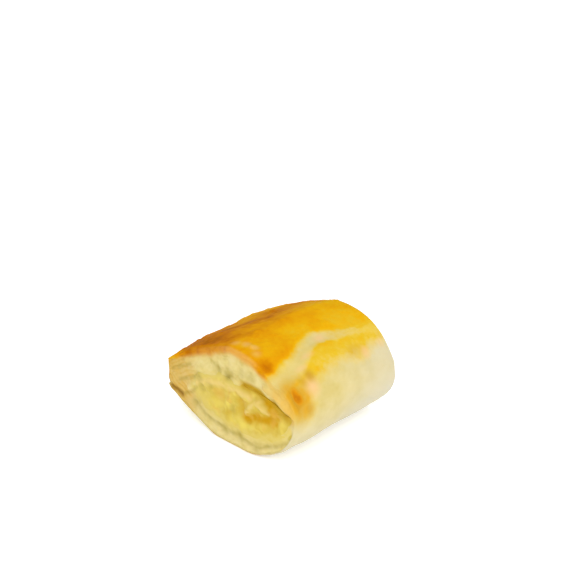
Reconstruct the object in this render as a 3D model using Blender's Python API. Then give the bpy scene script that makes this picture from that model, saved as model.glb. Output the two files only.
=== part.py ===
"""Cheese puff pastry: one piece cut from a long roll of puff dough folded over a cheese filling.

Metres, +Z up. X runs along the roll from cut to cut, the smooth fold is on -Y, the crimped lip
where the dough was sealed is on +Y, and the flat of the base lies on Z = 0. Two solids: the
wrap, a ring of dough that is open at both cuts, and the cheese core that runs through it.
"""

import math

import bmesh
import bpy
import numpy as np

MM = 0.001

# Outside of the piece.
LENGTH = 53.0 * MM  # from cut to cut
WIDTH = 62.6 * MM  # from the fold to the lip
HEIGHT = 39.5 * MM  # top of the dome above the base

# The section across the roll, as shares of the width and the height.
DOME_TOP_Y = -0.014 * WIDTH
FOLD_Z = 0.514 * HEIGHT  # height at which the fold stands out furthest
LIP_BOTTOM_Z = 0.316 * HEIGHT
LIP_THICKNESS = 10.9 * MM
BASE_FOLD_Y = -0.064 * WIDTH  # edges of the flat that the piece rests on
BASE_LIP_Y = 0.06 * WIDTH
DOME_POWER = 2.07  # 2 is an ellipse, more is squarer, less is flatter
SHOULDER_POWER = 1.155  # from the dome down to the lip
FOLD_POWER = 2.08
UNDERCUT_POWER = 1.206  # below the lip
SETTLED = 0.5 * MM  # how far the rounded underside flattened on the tray

# How the piece changes along its length.
END_DROP = 0.043  # share of the height lost at the cuts
END_PINCH = 0.014  # share of the width lost at the cuts
END_POWER = 2.5
CORNER_PULL = 0.066  # share of the length lost along the fold
CUT_SKEW = 0.0265  # the knife went a little askew
RIM_INSET = 0.4 * MM
HEEL = 0.6 * MM  # under the fold the near cut is fuller, and the far one leaner
HEEL_GIRTH = 0.552
HEEL_REACH = 0.08

# The opening that the filling runs through, across the roll.
CORE_Y = -6.1 * MM
CORE_Z = 17.6 * MM
CORE_HALF_WIDTH = 21.6 * MM
CORE_RISE = 7.6 * MM
CORE_SINK = 9.2 * MM
CORE_LEAN = 0.05  # the roof of the opening climbs towards the fold
CORE_TURN = 0.03  # share of the girth between the lip's top edge and its middle
FILLING_GAP = 0.3 * MM
FILLING_RECESS = 0.8 * MM  # the cheese ends a little inside the cut

# Relief of the crust.
CRIMPS = 6
CRIMP_DEPTH = 1.3 * MM
CRIMP_REACH = 8.5 * MM  # on either side of the lip's top edge
SEAM_DROP = 0.93  # how far down the lip its two sheets of dough meet, as a share
SEAM_DEPTH = 1.3 * MM
SEAM_HALF_WIDTH = 1.7 * MM
LOWER_SHEET = 0.9 * MM  # how far the lower sheet stands out past the upper one
LOWER_SHEET_WAVE = 19.0 * MM
SPLIT_DEPTH = 0.7 * MM  # the pale stretch mark where the glazed skin parted
SPLIT_HALF_WIDTH = 2.6 * MM
SPLIT_START_GIRTH = 0.3665
SPLIT_GIRTH = 0.3155
SPLIT_BEND = -1.5 * MM
SPLIT_END = 18.0 * MM
DIMPLE_X = -22.2 * MM
DIMPLE_GIRTH = 0.416
DIMPLE_HALF_LENGTH = 2.6 * MM
DIMPLE_HALF_GIRTH = 5.2 * MM
DIMPLE_DEPTH = 1.1 * MM
UNEVENNESS = 0.45 * MM
LAYER_PITCH = 3.0 * MM
LAYER_DEPTH = 0.55 * MM
GAP_DEPTH = 2.4 * MM  # the dark gap under the roof of the opening, on the fold's side
GAP_WIDTH = 1.9 * MM
CHEESE_LUMPS = 0.8 * MM

# Fineness.
COLUMNS = 80  # round the girth
LIP_CROWDING = 0.35  # the columns stand closer at the lip, by this share
SKIN_ROWS = 5 * CRIMPS
FACE_ROWS = 10
TUNNEL_ROWS = 4
CHEESE_COLUMNS = 48
CHEESE_ROWS = 6
CHEESE_RINGS = 5

# (name, sRGB colour, roughness)
CRUST = ("baked_puff_dough", (0.91, 0.73, 0.33), 0.42)
CHEESE = ("melted_cheese", (0.90, 0.74, 0.27), 0.5)


def clamp(value, low=0.0, high=1.0):
    return max(low, min(high, value))


def smooth(value):
    """0 to 1 with soft ends."""
    value = clamp(value)
    return value * value * (3 - 2 * value)


def bump(value):
    """1 at 0, falling softly to 0 at -1 and 1."""
    return 1 - smooth(abs(value))


def quadrant(centre, half_width, half_height, power, start, count=48):
    """Points of a quarter of a superellipse, anticlockwise from the angle start."""
    points = []
    for i in range(count):
        angle = start + 0.5 * math.pi * i / count
        c, s = math.cos(angle), math.sin(angle)
        y = centre[0] + half_width * math.copysign(abs(c) ** (2 / power), c)
        z = centre[1] + half_height * math.copysign(abs(s) ** (2 / power), s)
        points.append((y, z))
    return points


def section_outline():
    """The closed outline across the roll: over the dome to the fold, along the base, up the lip."""
    half = 0.5 * WIDTH
    lip_top = LIP_BOTTOM_Z + LIP_THICKNESS
    turn = 0.5 * math.pi
    shoulder = quadrant((DOME_TOP_Y, lip_top), half - DOME_TOP_Y, HEIGHT - lip_top, SHOULDER_POWER, 0)
    dome = quadrant((DOME_TOP_Y, FOLD_Z), half + DOME_TOP_Y, HEIGHT - FOLD_Z, DOME_POWER, turn)
    fold = quadrant((BASE_FOLD_Y, FOLD_Z), half + BASE_FOLD_Y, FOLD_Z, FOLD_POWER, 2 * turn)
    under = quadrant((BASE_LIP_Y, LIP_BOTTOM_Z), half - BASE_LIP_Y, LIP_BOTTOM_Z, UNDERCUT_POWER, 3 * turn)
    lip = [(half, LIP_BOTTOM_Z)]
    outline = np.array(shoulder + dome + fold + [(BASE_FOLD_Y, 0.0)] + under + lip)
    outline[:, 1] = np.maximum(outline[:, 1] - SETTLED, 0.0) * HEIGHT / (HEIGHT - SETTLED)
    return outline


OUTLINE = section_outline()
CLOSED = np.vstack([OUTLINE, OUTLINE[:1]])
STEPS = np.hypot(*np.diff(CLOSED, axis=0).T)
ALONG = np.concatenate([[0.0], np.cumsum(STEPS)])
GIRTH = ALONG[-1]
SEAM_GIRTH = 1 - SEAM_DROP * LIP_THICKNESS / GIRTH


def on_outline(girth):
    """(y, z) at a share of the girth, from the lip's top edge over the dome."""
    place = (girth % 1.0) * GIRTH
    return float(np.interp(place, ALONG, CLOSED[:, 0])), float(np.interp(place, ALONG, CLOSED[:, 1]))


def outward(girth, reach=0.006):
    """The outline's outward direction, taken over a short stretch."""
    y0, z0 = on_outline(girth - reach)
    y1, z1 = on_outline(girth + reach)
    size = math.hypot(y1 - y0, z1 - z0)
    return (z1 - z0) / size, (y0 - y1) / size


def under_skin(y, z):
    """How deep a point of a cut lies under the dough's skin. The lip's cut edge isn't skin."""
    across = (1 - END_PINCH) * OUTLINE[:-1, 0] - y
    up = (1 - END_DROP) * OUTLINE[:-1, 1] - z
    return float(np.hypot(across, up).min())


def crimp(girth, x):
    """The fork's grooves in the lip's upper sheet, deepest at its edge."""
    from_edge = (girth if girth < 0.5 else girth - 1) * GIRTH
    from_seam = (girth if girth > 0.5 else girth + 1) - SEAM_GIRTH
    groove = 0.5 - 0.5 * math.cos(2 * math.pi * CRIMPS * (x / LENGTH + 0.5))
    return -CRIMP_DEPTH * groove * bump(from_edge / CRIMP_REACH) * smooth(from_seam * GIRTH / SEAM_HALF_WIDTH)


def seam(girth, x):
    """The groove between the lip's two sheets, and the lower one's wavy edge."""
    from_seam = (girth - SEAM_GIRTH) * GIRTH
    wave = 1 + 0.35 * math.sin(2 * math.pi * x / LOWER_SHEET_WAVE + 1.0)
    lower = LOWER_SHEET * wave * bump(from_seam / (2 * SEAM_HALF_WIDTH) + 0.8)
    return lower - SEAM_DEPTH * bump(from_seam / SEAM_HALF_WIDTH)


def split(girth, x):
    """The stretch mark: from the front corner up the dome, then along the roll."""
    climb = smooth((x + 0.5 * LENGTH) / (SPLIT_BEND + 0.5 * LENGTH))
    centre = SPLIT_START_GIRTH + (SPLIT_GIRTH - SPLIT_START_GIRTH) * climb
    fade = 1 - smooth((x - 0.5 * SPLIT_END) / (0.5 * SPLIT_END))
    return -SPLIT_DEPTH * fade * bump((girth - centre) * GIRTH / (1.6 * SPLIT_HALF_WIDTH))


def dimple(girth, x):
    """The scorched hollow beside the near cut."""
    round_girth = (girth - DIMPLE_GIRTH) * GIRTH / (1.5 * DIMPLE_HALF_GIRTH)
    along = (x - DIMPLE_X) / (1.5 * DIMPLE_HALF_LENGTH)
    return -DIMPLE_DEPTH * bump(math.hypot(round_girth, along))


def uneven(girth, x):
    """Broad swells of the risen dough."""
    turn = 2 * math.pi * girth
    waves = math.sin(3 * turn + 95 * x + 0.6) + math.sin(5 * turn - 140 * x + 2.1)
    return UNEVENNESS * 0.5 * (waves + math.sin(2 * turn + 210 * x + 4.0) - 1)


def skin_point(girth, along):
    """The outer skin. along runs from -1 at the near cut to 1 at the far one."""
    y, z = on_outline(girth)
    lift = smooth(z / (5 * MM))  # the base stays flat
    ends = abs(along) ** END_POWER
    x = 0.5 * LENGTH * along
    relief = crimp(girth, x) + seam(girth, x) + split(girth, x) + dimple(girth, x)
    relief += uneven(girth, x) * smooth(z / (16 * MM))
    relief -= HEEL * along * bump((girth - HEEL_GIRTH) / HEEL_REACH)
    relief -= RIM_INSET * smooth((abs(along) - 0.93) / 0.07)
    out_y, out_z = outward(girth)
    fold_side = clamp(-2 * y / WIDTH)
    x = x * (1 - CORNER_PULL * fold_side**3) - CUT_SKEW * y
    y = y * (1 - END_PINCH * ends) + relief * out_y * lift
    z = z * (1 - END_DROP * ends) + relief * out_z * lift
    return x, y, z


def core_point(girth, along, shrink=0.0):
    """The wall of the opening, or the cheese's side, which is a little smaller."""
    angle = 2 * math.pi * (girth + CORE_TURN)
    c, s = math.cos(angle), math.sin(angle)
    y = CORE_Y + (CORE_HALF_WIDTH - shrink) * c
    z = CORE_Z + (CORE_RISE if s > 0 else CORE_SINK) * s
    z -= shrink * math.copysign(min(1.0, 3 * abs(s)), s)
    z -= CORE_LEAN * CORE_HALF_WIDTH * c * max(0.0, s)
    x = 0.5 * LENGTH * along
    x = x * (1 - CORNER_PULL * clamp(-2 * y / WIDTH) ** 3) - CUT_SKEW * y
    return x, y, z


def cut_relief(girth, y, z, from_rim, to_core):
    """How far the cut stands out: puffed layers, and the gap beside the roof of the opening."""
    turn = 2 * math.pi * girth
    wander = 0.8 * math.sin(4 * turn) + 0.5 * math.sin(7 * turn + 1.0)
    layer = 0.5 - 0.5 * math.cos(2 * math.pi * under_skin(y, z) / LAYER_PITCH + wander)
    roof = smooth((girth - 0.22) / 0.06) * (1 - smooth((girth - 0.44) / 0.05))
    gap = GAP_DEPTH * roof * (1 - smooth(to_core / GAP_WIDTH))
    return -(LAYER_DEPTH * layer + gap) * smooth(from_rim / (1.2 * MM))


def cut_point(girth, inward, side):
    """A cut face of the wrap: inward is 0 at the rim and 1 at the opening."""
    rim = skin_point(girth, side)
    core = core_point(girth, side)
    x, y, z = (a + (b - a) * inward for a, b in zip(rim, core))
    wall = math.dist(rim, core)
    return x + side * cut_relief(girth, y, z, inward * wall, (1 - inward) * wall), y, z


def wrap_point(girth, row):
    """The whole wrap as one closed sheet: out over the skin, in at the far cut, back, and out."""
    if row <= SKIN_ROWS:
        return skin_point(girth, 2 * row / SKIN_ROWS - 1)
    row -= SKIN_ROWS
    if row <= FACE_ROWS:
        return cut_point(girth, row / FACE_ROWS, 1)
    row -= FACE_ROWS
    if row < TUNNEL_ROWS:
        near, far = cut_point(girth, 1, -1), cut_point(girth, 1, 1)
        share = 1 - row / TUNNEL_ROWS
        return tuple(a + (b - a) * share for a, b in zip(near, far))
    row -= TUNNEL_ROWS
    return cut_point(girth, 1 - row / FACE_ROWS, -1)


def cheese_point(girth, row):
    """The core: rings from the middle of one cut to its edge, the side, and the other cut."""
    last = 2 * CHEESE_RINGS + CHEESE_ROWS
    side = -1 if row < 0.5 * last else 1
    ring = min(row, last - row, CHEESE_RINGS) / CHEESE_RINGS
    along = clamp((row - CHEESE_RINGS) / CHEESE_ROWS) * 2 - 1
    x, y, z = core_point(girth, along, FILLING_GAP)
    x -= along * FILLING_RECESS
    if ring < 1:
        y = CORE_Y + (y - CORE_Y) * ring
        z = CORE_Z + (z - CORE_Z) * ring
        x = side * (0.5 * LENGTH * (1 - CORNER_PULL * clamp(-2 * y / WIDTH) ** 3) - FILLING_RECESS)
        x -= CUT_SKEW * y
    lumps = math.sin(430 * y + 260 * z + side) + math.sin(-290 * y + 510 * z + 2 * side)
    if row <= CHEESE_RINGS or row >= CHEESE_RINGS + CHEESE_ROWS:
        x += side * 0.5 * CHEESE_LUMPS * lumps * (1 - ring**4)
    return x, y, z


def column_girth(share):
    """Where a column stands on the girth."""
    turn = 2 * math.pi * (share + CORE_TURN)
    return share - LIP_CROWDING * (math.sin(turn) - math.sin(2 * math.pi * CORE_TURN)) / (2 * math.pi)


def sheet(name, place, columns, rows, finish):
    """A grid laid round the girth: each of its points is placed, then the seams are closed."""
    mesh = bpy.data.meshes.new(name)
    bm = bmesh.new()
    bmesh.ops.create_grid(bm, x_segments=columns, y_segments=rows, size=0.5)
    for vert in bm.verts:
        vert.co = place(column_girth(vert.co.x + 0.5), round((vert.co.y + 0.5) * rows, 4))
    bmesh.ops.remove_doubles(bm, verts=bm.verts, dist=1e-6)
    bmesh.ops.recalc_face_normals(bm, faces=bm.faces)
    bm.to_mesh(mesh)
    bm.free()
    mesh.shade_smooth()
    mesh.set_sharp_from_angle(angle=math.radians(40))
    mesh.materials.append(material(*finish))
    piece = bpy.data.objects.new(name, mesh)
    bpy.context.scene.collection.objects.link(piece)
    return piece


def material(name, colour, roughness):
    linear = [((c + 0.055) / 1.055) ** 2.4 for c in colour]
    made = bpy.data.materials.new(name)
    made.use_nodes = True
    made.diffuse_color = (*linear, 1.0)
    shader = made.node_tree.nodes["Principled BSDF"]
    shader.inputs["Base Color"].default_value = (*linear, 1.0)
    shader.inputs["Roughness"].default_value = roughness
    shader.inputs["Metallic"].default_value = 0.0
    return made


def centre_on_base(pieces):
    """The origin goes under the middle of the whole piece, on the flat it rests on."""
    points = np.array([vert.co for piece in pieces for vert in piece.data.vertices])
    low, high = points.min(axis=0), points.max(axis=0)
    shift = (-0.5 * (low[0] + high[0]), -0.5 * (low[1] + high[1]), -low[2])
    for piece in pieces:
        for vert in piece.data.vertices:
            vert.co = [a + b for a, b in zip(vert.co, shift)]


def main():
    for old in list(bpy.data.objects):
        bpy.data.objects.remove(old, do_unlink=True)
    wrap = sheet("pastry", wrap_point, COLUMNS, SKIN_ROWS + 2 * FACE_ROWS + TUNNEL_ROWS, CRUST)
    cheese_rows = CHEESE_ROWS + 2 * CHEESE_RINGS
    cheese = sheet("filling", cheese_point, CHEESE_COLUMNS, cheese_rows, CHEESE)
    centre_on_base([wrap, cheese])


main()
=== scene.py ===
"""Cheese puff pastry: the looks of one piece cut from a long baked roll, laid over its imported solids.

Metres, +Z up. X runs along the roll from cut to cut, the smooth fold is on -Y and the crimped lip
on +Y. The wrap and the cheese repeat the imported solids' shapes from the same named sizes, with
finer columns and rows, and add the leaves, pits, blisters and wrinkles of baked puff dough.
"""

import math
from functools import partial

import bmesh
import bpy
import numpy as np
from bpy.props import FloatProperty, FloatVectorProperty, PointerProperty
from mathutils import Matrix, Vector, noise


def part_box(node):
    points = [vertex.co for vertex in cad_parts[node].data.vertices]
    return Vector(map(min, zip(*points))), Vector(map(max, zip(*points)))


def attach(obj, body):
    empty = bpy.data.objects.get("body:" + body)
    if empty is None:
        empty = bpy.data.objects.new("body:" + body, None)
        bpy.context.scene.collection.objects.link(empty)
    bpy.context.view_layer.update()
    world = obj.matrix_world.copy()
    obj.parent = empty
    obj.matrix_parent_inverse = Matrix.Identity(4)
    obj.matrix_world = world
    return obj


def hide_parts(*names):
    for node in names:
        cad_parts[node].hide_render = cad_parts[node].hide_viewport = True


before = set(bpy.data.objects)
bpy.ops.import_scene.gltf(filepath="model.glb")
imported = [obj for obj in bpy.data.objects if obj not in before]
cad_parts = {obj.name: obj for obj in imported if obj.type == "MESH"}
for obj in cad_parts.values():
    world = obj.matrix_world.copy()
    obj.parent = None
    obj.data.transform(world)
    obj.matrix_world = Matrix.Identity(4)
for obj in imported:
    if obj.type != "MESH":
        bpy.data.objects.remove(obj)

bl_info = {
    "name": "Cheese puff pastry",
    "version": (1, 0, 0),
    "blender": (4, 5, 0),
    "location": "View3D > Sidebar > Pastry",
    "description": "Dresses a cheese puff pastry in baked dough, cheese, floor and light",
    "category": "Object",
}

MM = 0.001

# The solids' own sizes.
LENGTH = 53.0 * MM  # from cut to cut
WIDTH = 62.6 * MM  # from the fold to the lip
HEIGHT = 39.5 * MM
DOME_TOP_Y = -0.014 * WIDTH
FOLD_Z = 0.514 * HEIGHT  # height at which the fold stands out furthest
LIP_BOTTOM_Z = 0.316 * HEIGHT
LIP_THICKNESS = 10.9 * MM
BASE_FOLD_Y = -0.064 * WIDTH  # edges of the flat that the piece rests on
BASE_LIP_Y = 0.06 * WIDTH
DOME_POWER = 2.07  # 2 is an ellipse, more is squarer, less is flatter
SHOULDER_POWER = 1.155
FOLD_POWER = 2.08
UNDERCUT_POWER = 1.206
SETTLED = 0.5 * MM  # how far the rounded underside flattened on the tray
END_DROP = 0.043  # share of the height lost at the cuts
END_PINCH = 0.014  # share of the width lost at the cuts
END_POWER = 2.5
CORNER_PULL = 0.066  # share of the length lost along the fold
CUT_SKEW = 0.0265  # the knife went a little askew
RIM_INSET = 0.4 * MM
HEEL = 0.6 * MM  # under the fold the near cut is fuller, and the far one leaner
HEEL_GIRTH = 0.552
HEEL_REACH = 0.08
CORE_Y = -6.1 * MM
CORE_Z = 17.6 * MM
CORE_HALF_WIDTH = 21.6 * MM
CORE_RISE = 7.6 * MM
CORE_SINK = 9.2 * MM
CORE_LEAN = 0.05  # the roof of the opening climbs towards the fold
CORE_TURN = 0.03  # share of the girth between the lip's top edge and its middle
FILLING_RECESS = 0.8 * MM  # the cheese ends a little inside the cut
CRIMPS = 6
CRIMP_DEPTH = 1.3 * MM
CRIMP_REACH = 8.5 * MM  # on either side of the lip's top edge
SEAM_DROP = 0.93  # how far down the lip its two sheets of dough meet, as a share
SEAM_DEPTH = 1.3 * MM
SEAM_HALF_WIDTH = 1.7 * MM
LOWER_SHEET = 0.9 * MM  # how far the lower sheet stands out past the upper one
LOWER_SHEET_WAVE = 19.0 * MM
SPLIT_DEPTH = 0.7 * MM  # the pale stretch mark where the glazed skin parted
SPLIT_HALF_WIDTH = 2.6 * MM
SPLIT_START_GIRTH = 0.3665
SPLIT_GIRTH = 0.3155
SPLIT_BEND = -1.5 * MM
SPLIT_END = 18.0 * MM
DIMPLE_X = -22.2 * MM  # the scorched hollow
DIMPLE_GIRTH = 0.416
DIMPLE_HALF_LENGTH = 2.6 * MM
DIMPLE_HALF_GIRTH = 5.2 * MM
DIMPLE_DEPTH = 1.1 * MM
UNEVENNESS = 0.45 * MM
GAP_DEPTH = 2.4 * MM  # the dark gap under the roof of the opening, on the fold's side
GAP_WIDTH = 1.9 * MM
LIP_CROWDING = 0.35  # the columns stand closer at the lip, by this share

# Fineness of the looks.
DOUGH_COLUMNS = 350
SKIN_ROWS = 146
FACE_ROWS = 62
TUNNEL_ROWS = 4
CHEESE_COLUMNS = 200
CHEESE_RINGS = 56
CHEESE_ROWS = 8
MERGE = 0.001 * MM  # points closer than this are one

# The cuts.
LEAF_PITCH = 1.5 * MM  # from one layer of the dough to the next
LEAF_DEPTH = 0.22 * MM  # of the lines between them
LEAF_STEP = 0.22 * MM  # how far one stands out past the next
RIM_RADIUS = 2.4 * MM  # the knife left a soft edge, which rounded as the dough rose
RIM_PUFF = 0.5 * MM
FAR_SHARE = 0.55  # how strong the far cut's marks are beside the near one's
CHEESE_SMEAR = 1.3 * MM  # how far the cheese runs over the dough, but not under the roof
CHEESE_EDGE = 0.12 * MM  # how high it stands there

# Camera. The photograph's middle lies above the piece and a little to its right.
VIEW_AZIMUTH = -44.26
VIEW_ELEVATION = 29.5
VIEW_DISTANCE = 0.6
VIEW_TARGET = (0.0, 0.0005, 0.0178)
PIXELS = 570
PIXELS_PER_METRE = 2819.0  # at the target
TARGET_PIXEL = (280.9, 371.1)
SENSOR_MM = 36.0

# Light and floor. The sky is a broad soft light overhead, weaker towards the horizon.
SKY_EDGE = 0.6  # sine of the height above which it is at its full strength
HORIZON = 0.2  # share of that strength at the horizon
KEY_PLACE = (-0.42, -0.34, 0.58)
KEY_SIZE = 0.5
FILL_PLACE = (0.30, -0.60, 0.28)
FILL_SIZE = 0.7
FLOOR_HALF = 3.0
FLOOR_DROP = 0.1 * MM  # keeps the floor clear of the flat of the base


def linear(code):
    """A colour for Blender from an sRGB hex value."""
    parts = [int(code[i : i + 2], 16) / 255 for i in (1, 3, 5)]
    return tuple(c / 12.92 if c <= 0.04045 else ((c + 0.055) / 1.055) ** 2.4 for c in parts)


# -------- shapes of the solids


def smooth(value):
    """0 to 1 with soft ends."""
    value = np.clip(value, 0.0, 1.0)
    return value * value * (3 - 2 * value)


def bump(value):
    """1 at 0, falling softly to 0 at -1 and 1."""
    return 1 - smooth(np.abs(value))


def between(value, low, high):
    """0 up to low, 1 from high, soft in between."""
    return smooth((value - low) / (high - low))


def quadrant(centre, half_width, half_height, power, start, count=48):
    """Points of a quarter of a superellipse, anticlockwise from the angle start."""
    angle = start + 0.5 * math.pi * np.arange(count) / count
    c, s = np.cos(angle), np.sin(angle)
    y = centre[0] + half_width * np.sign(c) * np.abs(c) ** (2 / power)
    z = centre[1] + half_height * np.sign(s) * np.abs(s) ** (2 / power)
    return np.column_stack([y, z])


def section_outline():
    """The closed outline across the roll: over the dome to the fold, along the base, up the lip."""
    half = 0.5 * WIDTH
    lip_top = LIP_BOTTOM_Z + LIP_THICKNESS
    turn = 0.5 * math.pi
    low = LIP_BOTTOM_Z
    shoulder = quadrant((DOME_TOP_Y, lip_top), half - DOME_TOP_Y, HEIGHT - lip_top, SHOULDER_POWER, 0)
    dome = quadrant((DOME_TOP_Y, FOLD_Z), half + DOME_TOP_Y, HEIGHT - FOLD_Z, DOME_POWER, turn)
    fold = quadrant((BASE_FOLD_Y, FOLD_Z), half + BASE_FOLD_Y, FOLD_Z, FOLD_POWER, 2 * turn)
    under = quadrant((BASE_LIP_Y, low), half - BASE_LIP_Y, low, UNDERCUT_POWER, 3 * turn)
    outline = np.vstack([shoulder, dome, fold, [(BASE_FOLD_Y, 0.0)], under, [(half, low)]])
    outline[:, 1] = np.maximum(outline[:, 1] - SETTLED, 0.0) * HEIGHT / (HEIGHT - SETTLED)
    return outline


OUTLINE = section_outline()
CLOSED = np.vstack([OUTLINE, OUTLINE[:1]])
ALONG = np.concatenate([[0.0], np.cumsum(np.hypot(*np.diff(CLOSED, axis=0).T))])
GIRTH = ALONG[-1]
SEAM_GIRTH = 1 - SEAM_DROP * LIP_THICKNESS / GIRTH


def on_outline(girth):
    """(y, z) at a share of the girth, from the lip's top edge over the dome."""
    place = (girth % 1.0) * GIRTH
    return np.interp(place, ALONG, CLOSED[:, 0]), np.interp(place, ALONG, CLOSED[:, 1])


def outward(girth, reach=0.006):
    """The outline's outward direction, taken over a short stretch."""
    y0, z0 = on_outline(girth - reach)
    y1, z1 = on_outline(girth + reach)
    size = np.hypot(y1 - y0, z1 - z0)
    return (z1 - z0) / size, (y0 - y1) / size


def under_skin(at):
    """How deep points (y, z) of a cut lie under the dough's skin. The lip's cut edge isn't skin."""
    nearest = np.full(len(at), np.inf)
    for edge in OUTLINE[:-1] * (1 - END_PINCH, 1 - END_DROP):
        nearest = np.minimum(nearest, ((edge - at) ** 2).sum(axis=1))
    return np.sqrt(nearest)


def crimp_groove(x):
    """0 on a ridge of the crimped lip, 1 in a groove."""
    return 0.5 - 0.5 * np.cos(2 * math.pi * CRIMPS * (x / LENGTH + 0.5))


def crimp_zone(girth):
    """1 at the lip's top edge, 0 past the fork's reach and below the seam."""
    from_edge = np.where(girth < 0.5, girth, girth - 1) * GIRTH
    from_seam = np.where(girth > 0.5, girth, girth + 1) - SEAM_GIRTH
    return bump(from_edge / CRIMP_REACH) * smooth(from_seam * GIRTH / SEAM_HALF_WIDTH)


def seam(girth, x):
    """The groove between the lip's two sheets, and the lower one's wavy edge."""
    from_seam = (girth - SEAM_GIRTH) * GIRTH
    wave = 1 + 0.35 * np.sin(2 * math.pi * x / LOWER_SHEET_WAVE + 1.0)
    lower = LOWER_SHEET * wave * bump(from_seam / (2 * SEAM_HALF_WIDTH) + 0.8)
    return lower - SEAM_DEPTH * bump(from_seam / SEAM_HALF_WIDTH)


def split_centre(x):
    """The girth of the stretch mark's middle: from the front corner up the dome, then along."""
    climb = smooth((x + 0.5 * LENGTH) / (SPLIT_BEND + 0.5 * LENGTH))
    return SPLIT_START_GIRTH + (SPLIT_GIRTH - SPLIT_START_GIRTH) * climb


def split(girth, x):
    """The stretch mark, where the glazed skin parted."""
    fade = 1 - smooth((x - 0.5 * SPLIT_END) / (0.5 * SPLIT_END))
    return -SPLIT_DEPTH * fade * bump((girth - split_centre(x)) * GIRTH / (1.6 * SPLIT_HALF_WIDTH))


def dimple_shape(girth, x):
    """1 in the middle of the scorched hollow beside the near cut, 0 outside."""
    round_girth = (girth - DIMPLE_GIRTH) * GIRTH / (1.5 * DIMPLE_HALF_GIRTH)
    return bump(np.hypot(round_girth, (x - DIMPLE_X) / (1.5 * DIMPLE_HALF_LENGTH)))


def uneven(girth, x):
    """Broad swells of the risen dough."""
    turn = 2 * math.pi * girth
    waves = np.sin(3 * turn + 95 * x + 0.6) + np.sin(5 * turn - 140 * x + 2.1)
    return UNEVENNESS * 0.5 * (waves + np.sin(2 * turn + 210 * x + 4.0) - 1)


def slanted(x, y):
    """x where a cut has it: drawn in towards the fold, and a little askew."""
    return x * (1 - CORNER_PULL * np.clip(-2 * y / WIDTH, 0, 1) ** 3) - CUT_SKEW * y


def skin_points(girth, along, fine=None):
    """The outer skin. along runs from -1 at the near cut to 1 at the far one. fine adds relief."""
    y, z = on_outline(girth)
    lift = smooth(z / (5 * MM))  # the base stays flat
    ends = np.abs(along) ** END_POWER
    x = 0.5 * LENGTH * along
    relief = -CRIMP_DEPTH * crimp_groove(x) * crimp_zone(girth)
    relief += seam(girth, x) + split(girth, x) - DIMPLE_DEPTH * dimple_shape(girth, x)
    relief += uneven(girth, x) * smooth(z / (16 * MM))
    relief -= HEEL * along * bump((girth - HEEL_GIRTH) / HEEL_REACH)
    relief -= RIM_INSET * smooth((np.abs(along) - 0.93) / 0.07)
    if fine is not None:
        relief += fine
    out_y, out_z = outward(girth)
    x = slanted(x, y)
    y = y * (1 - END_PINCH * ends) + relief * out_y * lift
    z = z * (1 - END_DROP * ends) + relief * out_z * lift
    return np.column_stack([x, y, z])


def core_points(girth, along, shrink=0.0):
    """The wall of the opening, or the cheese's side."""
    angle = 2 * math.pi * (girth + CORE_TURN)
    c, s = np.cos(angle), np.sin(angle)
    y = CORE_Y + (CORE_HALF_WIDTH - shrink) * c
    z = CORE_Z + np.where(s > 0, CORE_RISE, CORE_SINK) * s
    z -= shrink * np.sign(s) * np.minimum(1.0, 3 * np.abs(s))
    z -= CORE_LEAN * CORE_HALF_WIDTH * c * np.maximum(0.0, s)
    return np.column_stack([slanted(0.5 * LENGTH * along, y), y, z])


def column_girth(share):
    """Where a column stands on the girth: closer together at the lip."""
    turn = 2 * math.pi * (share + CORE_TURN)
    shift = np.sin(turn) - math.sin(2 * math.pi * CORE_TURN)
    return share - LIP_CROWDING * shift / (2 * math.pi)


def part_shift():
    """From the section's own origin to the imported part's, which is under the middle of its box."""
    girth, along = np.meshgrid(np.linspace(0, 1, 400), np.linspace(-1, 1, 120))
    points = skin_points(girth.ravel(), along.ravel())
    low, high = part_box("pastry")
    shift = 0.5 * (np.array(low) + np.array(high)) - 0.5 * (points.min(0) + points.max(0))
    shift[2] = 0.0
    return shift


# -------- places of the marks

# Places on the skin are (share of the girth, -1 at the near cut to 1 at the far one), places on a
# cut are (y, z) in mm from the section's own origin.

BARE_BAND = (  # the stretch mark: along, share of the girth, half of its width in mm, how bare
    (-1.00, 0.3655, 3.8, 0.80),
    (-0.90, 0.3650, 3.3, 0.74),
    (-0.75, 0.3590, 3.6, 0.74),
    (-0.50, 0.3465, 3.4, 0.74),
    (-0.22, 0.3205, 2.4, 0.80),
    (-0.03, 0.3110, 2.4, 0.95),
    (0.08, 0.3140, 2.5, 0.85),
    (0.27, 0.3225, 2.5, 0.53),
    (0.50, 0.3310, 2.1, 0.36),
    (0.72, 0.3415, 1.6, 0.24),
    (0.90, 0.3540, 1.3, 0.12),
)
WASH_EDGE = (  # along, and the share of the girth down to which the brush reached
    (-1.0, 0.460), (-0.8, 0.456), (-0.62, 0.432), (-0.5, 0.398), (-0.3, 0.388),
    (0.0, 0.385), (0.3, 0.392), (0.6, 0.390), (0.85, 0.382), (1.0, 0.372),
)
SCORCHES = (  # place, half girth and half length in mm, how brown
    ((0.420, -0.80), 14.5, 9.5, 0.50),
    ((0.416, -0.90), 12.5, 6.8, 0.62),
    ((0.412, -0.83), 7.6, 4.0, 0.88),
    ((0.380, -0.35), 2.8, 2.8, 0.40),
)
TOASTED = (  # the same for dry dough that turned brown
    ((0.384, -0.51), 4.0, 3.5, 0.80),
    ((0.447, -0.73), 5.2, 4.0, 0.65),
    ((0.388, -0.97), 4.0, 3.4, 0.50),
    ((0.388, -0.66), 4.4, 4.2, 0.55),
    ((0.418, -0.86), 13.0, 8.0, 0.75),
    ((0.379, 0.38), 4.4, 6.5, 0.42),
)
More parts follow.
